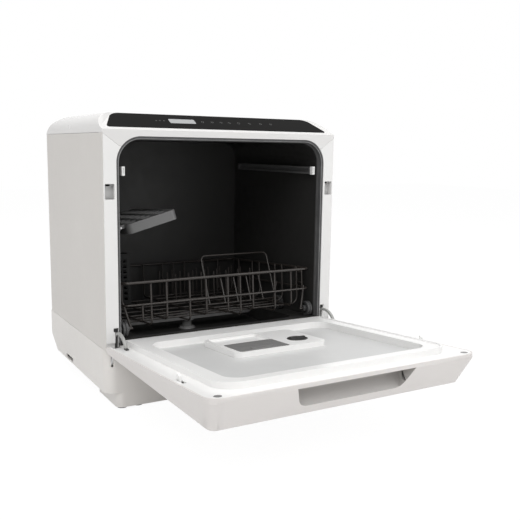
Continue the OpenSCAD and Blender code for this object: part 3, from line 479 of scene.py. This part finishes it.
def corner_filler(side):
    """A block inside the hollow corner, for the round to be cut from."""
    bm = bmesh.new()
    for depth in (0, FILLER_REACH):
        for z in (FILLER_TOP, TOE_Z + SKIN + depth * TOE_SLOPE):
            corner = on_corner(side, z, SKIN) + Vector((0, depth, 0))
            for reach in (0, FILLER_REACH):
                bm.verts.new(on_door(corner.x - side * reach, corner.y, corner.z))
    bmesh.ops.convex_hull(bm, input=bm.verts)
    return tool_shape("corner_filler", bm)


def corner_cutter(side):
    """What the round along an upright corner of the door's free end takes away."""
    out_side = Vector((side, 0, -SIDE_DRAFT)).normalized()
    out_end = Vector((0, -1, -END_LEAN)).normalized()
    start, stop = on_corner(side, -RIM_BAND), on_corner(side, CUTTER_LOW)
    centre = start - (out_side + out_end) * CORNER_R / (1 + out_side.dot(out_end))
    outline = [centre + CORNER_R * out_side.slerp(out_end, i / CORNER_STEPS)
               for i in range(CORNER_STEPS + 1)]
    outline += [outline[-1] + CUTTER_PROUD * out_end, start + CUTTER_PROUD * (out_side + out_end),
                outline[0] + CUTTER_PROUD * out_side]
    run = on_door(*stop) - on_door(*start)
    return pulled_out("corner_cutter", [on_door(*p) for p in outline], run, CUTTER_SOONER)


def recess_fillet(side):
    """Material left in a lower corner of the finger recess, which makes that corner round."""
    along = Vector((1, 0))
    half = RECESS_SIDE.angle(along) / 2
    reach = RECESS_R / math.tan(half)
    centre = RECESS_CORNER + (RECESS_SIDE + along).normalized() * RECESS_R / math.sin(half)
    first = RECESS_CORNER + RECESS_SIDE * reach
    last = RECESS_CORNER + along * reach
    begin = math.atan2(first.y - centre.y, first.x - centre.x) % math.tau
    outline = []
    for i in range(RECESS_STEPS + 1):
        turn = begin + (1.5 * math.pi - begin) * i / RECESS_STEPS
        outline.append(centre + RECESS_R * Vector((math.cos(turn), math.sin(turn))))
    # the rest of the outline is inside the walls
    outline += [last + Vector((0, -RECESS_BITE)), RECESS_CORNER + Vector((-3, -RECESS_BITE)),
                first + Vector((-RECESS_BITE, -0.5))]
    points = [on_door(-side * p.x, end_face(p.y), p.y) for p in outline]
    return pulled_out("recess_fillet", points, TRACK * RECESS_DEPTH * MM)


def rounded_door(bm):
    """The outer door skin with the rounds of its free corners and of its finger recess."""
    fillers = [make(side) for make in (corner_filler, recess_fillet) for side in (-1, 1)]
    bm = carved(bm, fillers, [corner_cutter(-1), corner_cutter(1)])
    bmesh.ops.remove_doubles(bm, verts=bm.verts, dist=CUT_LOOSE * MM)
    return bm


# ------------------------------------------------------------------ eased edges of the mouldings

# width of the round on the edges of each moulding
EASED = {
    "top_cover": 0.8, "front_frame": 0.8, "base_pan": 1.0, "door_cover": 1.2, "door_liner": 1.2,
    "dispenser_body": 0.6, "dispenser_lid": 0.5, "rinse_cap": 0.5, "rail_end_caps": 0.4,
    "cup_shelf": 0.5, "shelf_clips": 0.5, "door_straps": 0.5, "strap_feet": 0.4,
}
HOLED = {"door_liner"}           # its faces have holes in them, so they stay cut into triangles
EASE_SEGMENTS = 2
EASE_DEG = 40                    # edges sharper than this are eased
FLAT_DEG = 0.4                   # facets that differ by less are one face


def softened(node, width):
    """A copy of a node with its sharp edges eased, as a moulding's are."""
    bm = bmesh.new()
    bm.from_mesh(nodes[node].data)
    bmesh.ops.remove_doubles(bm, verts=bm.verts, dist=LOOSE * MM)
    if node == "door_cover":
        bm = rounded_door(bm)
    if node not in HOLED:
        bmesh.ops.dissolve_limit(bm, angle_limit=math.radians(FLAT_DEG), verts=bm.verts, edges=bm.edges)
    obj = piece(node + "_eased", bm, body_of_node[node], finish_of(node), EASE_DEG,
                (node,))
    ease = obj.modifiers.new("eased_edges", "BEVEL")
    ease.width = width * MM
    ease.segments = EASE_SEGMENTS
    ease.limit_method = "ANGLE"
    ease.angle_limit = math.radians(EASE_DEG)
    ease.use_clamp_overlap = True
    level = obj.modifiers.new("level_faces", "WEIGHTED_NORMAL")
    level.keep_sharp = True
    level.weight = 80
    return obj


def ease_mouldings():
    eased = {node: softened(node, width) for node, width in EASED.items()}
    grain_the_well(eased["door_liner"])
    paint_shade_in_recess(eased["door_cover"])


def grain_the_well(liner):
    """The sunk floor of the liner takes the grained finish, the rim round it stays glossy."""
    liner.data.materials.append(WELL_FLOOR)
    for face in liner.data.polygons:
        z = door_place(face.center)[2]
        if face.normal.dot(UP) > 0.9 and z < -1:
            face.material_index = 1


def paint_shade_in_recess(cover):
    """Painted shade: the faces inside the finger recess take a darker tone of the door skin, for the shade
    that falls in it.
    """
    cover.data.materials.append(RECESS_PAINTED_SHADE)
    for face in cover.data.polygons:
        x, y, z = door_place(face.center)
        inside = abs(x) < RECESS_HALF and y < RECESS_INNER and RECESS_Z[0] < z < RECESS_Z[1]
        if inside and y - end_face(z) > RECESS_SET_BACK:
            face.material_index = 1


# ------------------------------------------------------------------ small pieces on the cabinet

BEAD_R = 0.75
BEAD_LOOSE = 0.01                # points of the bead closer than this are one point
BEAD_INSET, BEAD_DEPTH, BEAD_FOOT = 3.4, 1.5, 113.5    # inside the hole, behind the face, lowest point
BEAD_RUN, BEAD_TURN = 8, 12      # points along a side and round a corner

SCREWS = ((-160.8, 424.6), (-6.4, 425.2))    # x and z of the screws in the opening's upper edge
SCREW_DEPTH, SCREW_HEAD, SCREW_R, SCREW_TOP_R = 1.25, 0.8, 1.5, 1.2

KEY_R, SMALL_KEY_R, KEY_LINE = 2.3, 1.2, 0.5
KEYS = ((KEY_R, (-31.5, -14, 2.4, 17.8, 35.3, 56, 77.5, 98)), (SMALL_KEY_R, (-112, -106, -99)))
KEY_ROW = 25.0                   # distance of the row of keys up the slope
PRINT_OUT = 0.27                 # the marks stand this far off the panel's plane


def arch():
    """Points up one side of the opening, round its upper corners and down the other side."""
    x, top, r = HOLE_X - BEAD_INSET, HOLE_TOP - BEAD_INSET, HOLE_R - BEAD_INSET
    rise = (top - r - BEAD_FOOT) / BEAD_RUN
    points = [cabinet(x, BEAD_DEPTH, BEAD_FOOT + rise * i) for i in range(BEAD_RUN)]
    for centre_x, start in ((x - r, 0), (r - x, 90)):
        for i in range(BEAD_TURN + 1):
            turn = math.radians(start + 90 * i / BEAD_TURN)
            points.append(cabinet(centre_x + r * math.cos(turn), BEAD_DEPTH, top - r + r * math.sin(turn)))
    points += [cabinet(-x, BEAD_DEPTH, top - r - rise * i) for i in range(1, BEAD_RUN + 1)]
    return points


def bead_the_gasket():
    """The gasket's round lip, closed at both ends; its lighter rubber is a painted highlight on the real
    bead.
    """
    curve = bpy.data.curves.new("gasket_bead", "CURVE")
    curve.dimensions = "3D"
    curve.bevel_depth = BEAD_R * MM
    curve.bevel_resolution = 3
    curve.use_fill_caps = True
    points = arch()
    line = curve.splines.new("POLY")
    line.points.add(len(points) - 1)
    for spot, at in zip(line.points, points):
        spot.co = (*at, 1)
    maker = bpy.data.objects.new("gasket_bead_path", curve)
    bpy.context.collection.objects.link(maker)
    mesh = bpy.data.meshes.new_from_object(maker.evaluated_get(bpy.context.evaluated_depsgraph_get()))
    bpy.data.objects.remove(maker)
    bm = bmesh.new()
    bm.from_mesh(mesh)
    bmesh.ops.remove_doubles(bm, verts=bm.verts, dist=BEAD_LOOSE * MM)
    bmesh.ops.recalc_face_normals(bm, faces=bm.faces)
    piece("gasket_bead", bm, "cabinet", SEAL_LIP_PAINTED_HIGHLIGHT, 60)


def add_frame_screws():
    """Two dark screws in the upper run of the opening's edge."""
    for i, (x, z) in enumerate(SCREWS):
        bm = bmesh.new()
        turn = Matrix.Translation(cabinet(x, SCREW_DEPTH, z)) @ Matrix.Rotation(math.pi / 2, 4, "X")
        bmesh.ops.create_cone(bm, cap_ends=True, segments=24, radius1=SCREW_R * MM,
                              radius2=SCREW_TOP_R * MM, depth=SCREW_HEAD * MM, matrix=turn)
        piece(f"strip_screw_{i + 1}", bm, "cabinet", SCREW_BLACK, 30)


def ring(bm, radius, place):
    """A flat printed ring."""
    made = bmesh.ops.create_circle(bm, cap_ends=False, segments=20, radius=radius * MM)
    rim = list({e for v in made["verts"] for e in v.link_edges})
    inner = bmesh.ops.extrude_edge_only(bm, edges=rim)["geom"]
    inside = [g for g in inner if isinstance(g, bmesh.types.BMVert)]
    bmesh.ops.scale(bm, vec=((radius - KEY_LINE) / radius,) * 3, verts=inside)
    bmesh.ops.transform(bm, matrix=place, verts=made["verts"] + inside)


def print_keys():
    """Faint generic marks over the touch keys: a ring each, and small ones for the lights."""
    right = Vector((1, 0, 0))
    above = (on_panel(0, 1, 0) - on_panel(0, 0, 0)).normalized()
    place = Matrix((right, above, right.cross(above))).transposed().to_4x4()
    bm = bmesh.new()
    for radius, row in KEYS:
        for x in row:
            place.translation = on_panel(x, KEY_ROW, PRINT_OUT)
            ring(bm, radius, place)
    piece("key_marks", bm, "cabinet", KEY_PRINT, 30)


place_camera()
light_world()
hang_lamps()
lay_floor()
dress_nodes()
ease_mouldings()
bead_the_gasket()
add_frame_screws()
print_keys()

bpy.context.scene.view_settings.view_transform = "Standard"
